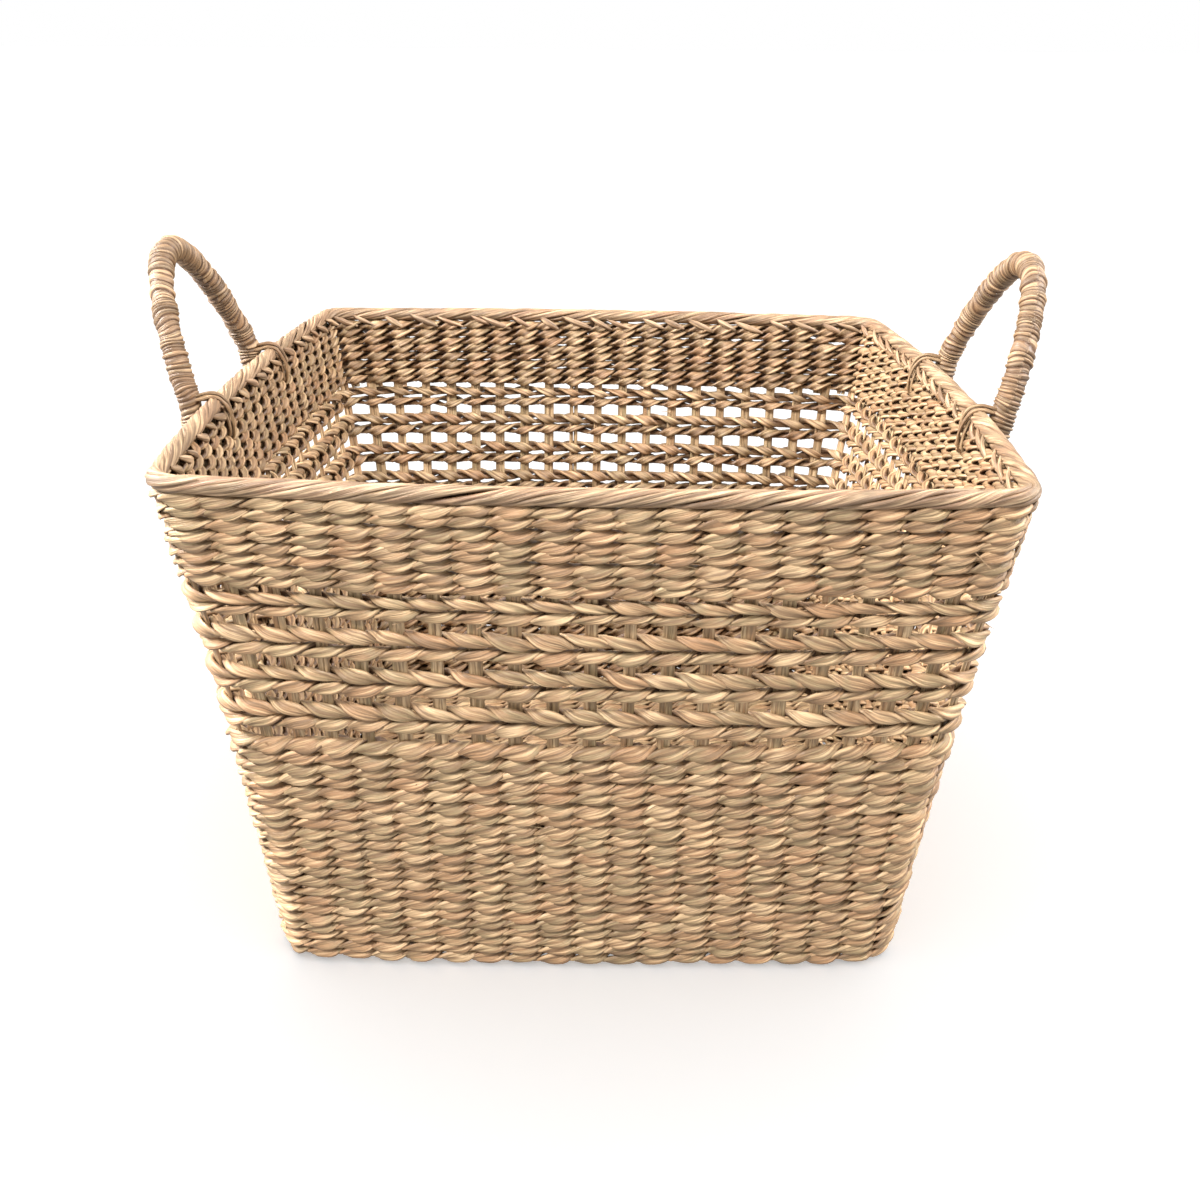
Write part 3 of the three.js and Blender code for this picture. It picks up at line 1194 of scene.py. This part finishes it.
@dataclass
class Handle:
    """Grass bundle wound with thin strands: one leg against the wall, an arch, the other leg.

    The surface is a tube of radius r * (1 + ridge), where the ridge rises and falls with the
    turns of the winding, counted along the handle plus the angle round it.

    Attributes:
        side: Wall that carries it.
        radius: Radius over the winding.
        span: Spacing of its legs.
        rise: Height of the arch above the pivot line, along its lean.
        lean: Outward lean of the arch.
        pivot_z: Height of the line about which it bends.
        pivot_x: Distance of that line from the middle.
        inset: How far the legs press into the weave.
        foot: Length of a leg below the pivot line.
        turn: Spacing of the winding's turns.
        around: Points round the tube.
        cords: Cords in a lashing.
        cord_width: Width of a cord.
        cord_spread: Distance of a cord from the lashing's middle.
        bend_below: Distance below the pivot line where the bend starts; not used.
        bend_above: Distance above it where the bend ends; not used.
    """

    side: Side
    radius: float = 6.2 * MM
    span: float = 112 * MM
    rise: float = 63 * MM
    lean: float = math.radians(17.5)
    pivot_z: float = 258 * MM
    pivot_x: float = 197.33 * MM
    inset: float = 0.6 * MM
    foot: float = 44 * MM
    turn: float = 2.2 * MM
    around: int = 30
    cords: int = 4
    cord_width: float = 1.9 * MM
    cord_spread: float = 1.6 * MM
    bend_below: float = 8 * MM
    bend_above: float = 10 * MM

    @property
    def label(self) -> str:
        """The side in small letters: left or right."""
        return self.side.name.lower()

    def line(self) -> np.ndarray:
        """Lays out the middle of a right-hand handle, with sharp bends at the pivot line.

        The arch is -cos(a) * span / 2 along the wall and sin(a)^1.5 * rise up its lean.

        Returns:
            Points from the front foot over the arch to the back foot.
        """
        a = np.linspace(0, math.pi, 400)
        y = -np.cos(a) * self.span / 2
        up = np.sin(a) ** 1.5 * self.rise
        foot = self.pivot_x - self.inset
        rise = self.pivot_z + up * math.cos(self.lean)
        arch = np.stack([foot + up * math.sin(self.lean), y, rise], -1)
        z = np.linspace(self.pivot_z - self.foot - 6 * MM, self.pivot_z - 4 * MM, 60)
        leg_x = foot - (self.pivot_z - z) * math.tan(WALL.tilt)
        front = np.stack([leg_x, np.full_like(z, -self.span / 2), z], -1)
        return np.concatenate([front, arch, front[::-1] * np.array([1, -1, 1])])

    def build(self, finishes: Finishes) -> None:
        """Builds the winding as one piece, and the lashings of both legs.

        Args:
            finishes: Every finish.
        """
        rng = np.random.default_rng(20 + int(self.side.value))
        mirror = np.array([self.side.value, 1, 1])
        line = self.line()
        length = float(run_length(line)[-1])
        turns = int(length / self.turn)
        share = np.linspace(0, 1, turns * 8)
        point = rounded(by_length(line, share), 12) * mirror
        plane = np.array([math.cos(self.lean), 0, -math.sin(self.lean)]) * mirror
        tangent = unit(np.gradient(point, axis=0))
        side = unit(np.cross(np.broadcast_to(plane, point.shape), tangent))
        face = np.cross(tangent, side)
        phi = np.arange(self.around) / self.around * TURN
        count = np.maximum.accumulate(share * turns + Wobble(rng, 40, share * 40, False)(0.7))
        coil = count[:, None] + phi[None, :] / TURN * self.side.value
        coil = coil + 0.16 * np.sin(2 * phi[None, :] + 0.9 * count[:, None])
        coil = coil + 0.38 * np.sin(phi[None, :] + 0.31 * count[:, None])
        wind = np.floor(coil)
        f = coil - wind
        # three draws for each turn, of which two are used: its height and its tone
        random = rng.random((turns + 40, 3))[np.clip(wind.astype(int) + 10, 0, turns + 39)]
        ridge = np.abs(np.sin(math.pi * f)) ** 0.55
        ridge = ridge * (0.80 + 0.20 * np.abs(np.cos(TURN * (f - 0.1))))
        height = (0.35 + 0.95 * random[..., 0]) * ridge
        end = np.clip(np.minimum(share, 1 - share) * length / (9 * MM), 0, 1)
        body = self.radius * (0.35 + 0.65 * np.sqrt(end))
        lump = 1 + Wobble(rng, 24, share * 24, False)(0.03)
        radius = (body * lump)[:, None] * (0.82 + 0.21 * height)
        cs, sn = np.cos(phi)[None, :, None], np.sin(phi)[None, :, None]
        grid = point[:, None] + radius[..., None] * (side[:, None] * cs + face[:, None] * sn)
        leaf = np.stack([radius * phi[None, :], f * self.turn, wind * 0.37], -1)
        # painted shade in the grooves between the turns of the winding
        tone, shade = 0.15 + 0.7 * random[..., 1], np.clip(1.5 - 1.65 * ridge, 0, 1)
        bundle = Bundle()
        bundle.tube(WALL.settle(grid), leaf, tone, shade, False)
        piece = bundle.mesh(f"handle_{self.label}_winding")
        nodes = [f"handle_{self.label}_{part}" for part in ("arch", "leg_front", "leg_back")]
        finish_piece(piece, finishes.wrap, "handle_wrap_grass", *nodes)
        self.bend(piece)
        for end_name in End:
            self.lashing(end_name, finishes)

    def bend(self, piece: bpy.types.Object) -> None:
        """Bakes the piece's transform into its mesh, leaving it at the origin.

        Args:
            piece: The piece.
        """
        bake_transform(piece)

    def lashing(self, leg: End, finishes: Finishes) -> None:
        """Builds thin cords from a leg, loosely over the rim and into the inside of the wall.

        The cords turn about the lashing's middle by 0.45 of a turn over its length.

        Args:
            leg: Which leg.
            finishes: Every finish.
        """
        rng = np.random.default_rng(40 + int(3 * self.side.value) + (leg is End.BACK))
        mirror = self.side.value
        bundle = Bundle()
        rim_x = WALL.rim_half - RimBorder.roll
        spots = np.array(
            [
                [self.pivot_x - 2.0 * MM, -2.0 * MM, 256.6 * MM],
                [rim_x + 4.6 * MM, -1.2 * MM, 257.6 * MM],
                [rim_x, 0.0, 258.2 * MM],
                [rim_x - 3.8 * MM, 0.8 * MM, 257.0 * MM],
                [rim_x - 6.4 * MM, 1.4 * MM, 252.5 * MM],
                [rim_x - 7.6 * MM, 1.8 * MM, 246.0 * MM],
                [rim_x - 7.4 * MM, 2.0 * MM, 239.0 * MM],
                [rim_x - 4.0 * MM, 2.2 * MM, 234.0 * MM],
            ]
        )
        n = 48
        f = np.linspace(0, 1, n)
        line = rounded(by_length(spots, f), 5)
        normal = unit(np.cross(unit(np.gradient(line, axis=0)), np.array([0.0, 1.0, 0.0])))
        up = np.tile(np.array([-mirror, 0.0, 0.3]), (n, 1))
        wobble = Wobble(rng, 10, f * 10, False)
        for cord in range(self.cords):
            phase = (cord + 0.5) / self.cords * TURN
            turn = phase + TURN * 0.45 * f
            spread = self.cord_spread * (0.8 + 0.3 * np.sin(math.pi * f)) * rng.uniform(0.85, 1.15)
            path = line + normal * (spread * np.sin(turn))[:, None]
            path[:, 1] += leg.value * self.span / 2 + 1.25 * spread * np.cos(turn)
            path[:, 0] += Wobble(rng, 8, f * 8, False)(0.15 * MM)
            path[:, 0] *= mirror
            width = self.cord_width * (1 + wobble(0.1))
            tone = np.clip(rng.random() + wobble(0.1), 0, 1)
            # painted shade in bands along the cord
            shade = 0.3 * np.abs(np.sin(9 * math.pi * f + phase))
            bundle.strand(WALL.settle(path), up, width, 0.8 * width, tone, shade, cord * 5.1)
        end_name = leg.name.lower()
        piece = bundle.mesh(f"lashing_cords_{self.label}_{end_name}")
        node = f"handle_{self.label}_lashing_{end_name}"
        finish_piece(piece, finishes.cord, "lashing_cord", node)
        self.bend(piece)


# Studio


@dataclass(frozen=True)
class SoftLight:
    """Soft square light.

    Attributes:
        name: Its name.
        place: Where it stands.
        aim: Where it points.
        size: Length of its side.
        power: Power in watts.
    """

    name: str
    place: tuple[float, float, float]
    aim: tuple[float, float, float]
    size: float
    power: float

    def build(self, unlit: bpy.types.Collection) -> None:
        """Adds the light.

        Args:
            unlit: What it leaves out.
        """
        light = bpy.data.lights.new(self.name, "AREA")
        light.size, light.energy = self.size, self.power
        holder = bpy.data.objects.new(self.name, light)
        holder.location = self.place
        holder.light_linking.receiver_collection = unlit
        x, y, z = np.array(self.aim) - np.array(self.place)
        tip = math.pi / 2 + math.atan2(z, math.hypot(x, y))
        holder.rotation_euler = (tip, 0, math.atan2(y, x) - math.pi / 2)
        bpy.context.scene.collection.objects.link(holder)


@dataclass
class Studio:
    """Floor, lights and camera.

    Attributes:
        camera_place: Where the camera stands.
        pitch: How far it looks down.
        yaw: How far it is turned to the left.
        roll: How far it is tipped.
        focal_share: Focal length as a share of the picture's width.
        sensor: Width of the sensor, in millimetres.
        floor_size: Half width of the floor.
        floor_colour: Its grey.
        floor_glow: Light that it gives off, which keeps it white.
        lights: The lights, which leave the floor to the sky.
    """

    camera_place: tuple[float, float, float] = (0.0044, -0.6575, 0.418)
    pitch: float = 0.4132
    yaw: float = 0.0035
    roll: float = 0.0063
    focal_share: float = 1277 / 1200
    sensor: float = 36
    floor_size: float = 60.0
    floor_colour: float = 0.9
    floor_glow: float = 0.31
    lights: tuple[SoftLight, ...] = (
        SoftLight("key", (-1.5, 0.1, 1.15), (0.1, 0.0, 0.15), 0.6, 117),
        SoftLight("right_fill", (1.3, 0.0, 1.25), (-0.1, 0.0, 0.15), 0.8, 68),
        SoftLight("front_key", (-0.5, -1.0, 1.5), (0.0, 0.0, 0.12), 0.4, 48),
    )

    def build(self) -> None:
        """Adds the camera, the floor, the lights and the sky."""
        camera = bpy.data.cameras.new("camera")
        camera.sensor_width = self.sensor
        camera.lens = self.sensor * self.focal_share
        camera.clip_end = 200
        holder = bpy.data.objects.new("camera", camera)
        holder.location = self.camera_place
        turn = Matrix.Rotation(self.yaw, 3, "Z") @ Matrix.Rotation(math.pi / 2 - self.pitch, 3, "X")
        holder.rotation_euler = (turn @ Matrix.Rotation(self.roll, 3, "Z")).to_euler()
        bpy.context.scene.collection.objects.link(holder)
        bpy.context.scene.camera = holder
        unlit = bpy.data.collections.new("lit_by_sky_only")
        unlit.objects.link(self.floor())
        unlit.collection_objects[0].light_linking.link_state = "EXCLUDE"
        for light in self.lights:
            light.build(unlit)
        world = bpy.data.worlds.new("sky")
        bpy.context.scene.world = world
        world.use_nodes = True
        background = world.node_tree.nodes["Background"]
        background.inputs["Color"].default_value = (1, 1, 1, 1)
        background.inputs["Strength"].default_value = 1.0
        bpy.context.scene.view_settings.view_transform = "Standard"

    def floor(self) -> bpy.types.Object:
        """Adds a wide plain pale floor.

        Returns:
            The floor.
        """
        mesh = bpy.data.meshes.new("floor")
        r = self.floor_size
        mesh.from_pydata([(-r, -r, 0), (r, -r, 0), (r, r, 0), (-r, r, 0)], [], [(0, 1, 2, 3)])
        floor = bpy.data.objects.new("floor", mesh)
        bpy.context.scene.collection.objects.link(floor)
        material = bpy.data.materials.new("floor")
        material.use_nodes = True
        shader = material.node_tree.nodes["Principled BSDF"]
        for socket, value in (
            ("Base Color", (*[self.floor_colour] * 3, 1)),
            ("Roughness", 0.9),
            ("Specular IOR Level", 0.1),
            ("Emission Color", (1, 1, 1, 1)),
            ("Emission Strength", self.floor_glow),
        ):
            shader.inputs[socket].default_value = value
        mesh.materials.append(material)
        return floor


# Assembly


def wall_zones() -> list[WeftZone]:
    """Lists the zones of weft from the rim down, with the open bands between them.

    Returns:
        The zones.
    """
    rise, fall = Twist.RISING, Twist.FALLING
    top, upper, clear = 249.5 * MM, 39.9 * MM, 3.2 * MM
    first_gap, gap = 3.3 * MM, 5.5 * MM
    nodes = ("weft_upper_outer", "weft_upper_inner")
    zones = [WeftZone("weft_upper", top, [RowStyle(rise, upper / 8)] * 8, nodes, 11)]
    z = top - upper - first_gap
    for i, height in enumerate((11.1, 13.6, 13.5, 14.0)):
        half = height * MM / 2
        rows = [RowStyle(fall, half, 0.94, 0.40, 0.23), RowStyle(rise, half, 0.92, 0.38, 0.21)]
        name = f"weft_band_{i + 1}"
        zones.append(WeftZone(name, z, rows, (f"{name}_outer", f"{name}_inner"), 12 + i))
        z -= height * MM + gap
    heights = np.linspace(6.5, 5.5, 22)
    heights = heights / heights.sum() * (z - clear)
    nodes = ("weft_lower_outer", "weft_lower_inner")
    for part, (a, b) in enumerate(((0, 8), (8, 15), (15, 22))):
        rows = [RowStyle(rise, float(h)) for h in heights[a:b]]
        stands_for = () if part else nodes
        zones.append(WeftZone(f"weft_lower_{part + 1}", z, rows, stands_for, 21 + part))
        z -= float(heights[a:b].sum())
    return zones


def main() -> None:
    """Builds the basket in order: base, stakes, wefts, rim, handles, studio."""
    logging.basicConfig(level=logging.INFO, format="%(name)s %(message)s")
    finishes = Finishes.make()
    BaseWeave().build(finishes)
    Stakes().build(finishes)
    for zone in wall_zones():
        zone.build(finishes)
    RimBorder().build(finishes)
    StrayFibres().build(finishes)
    for side in Side:
        Handle(side).build(finishes)
    Studio().build()
    bpy.context.view_layer.update()


if __name__ == "__main__":
    main()
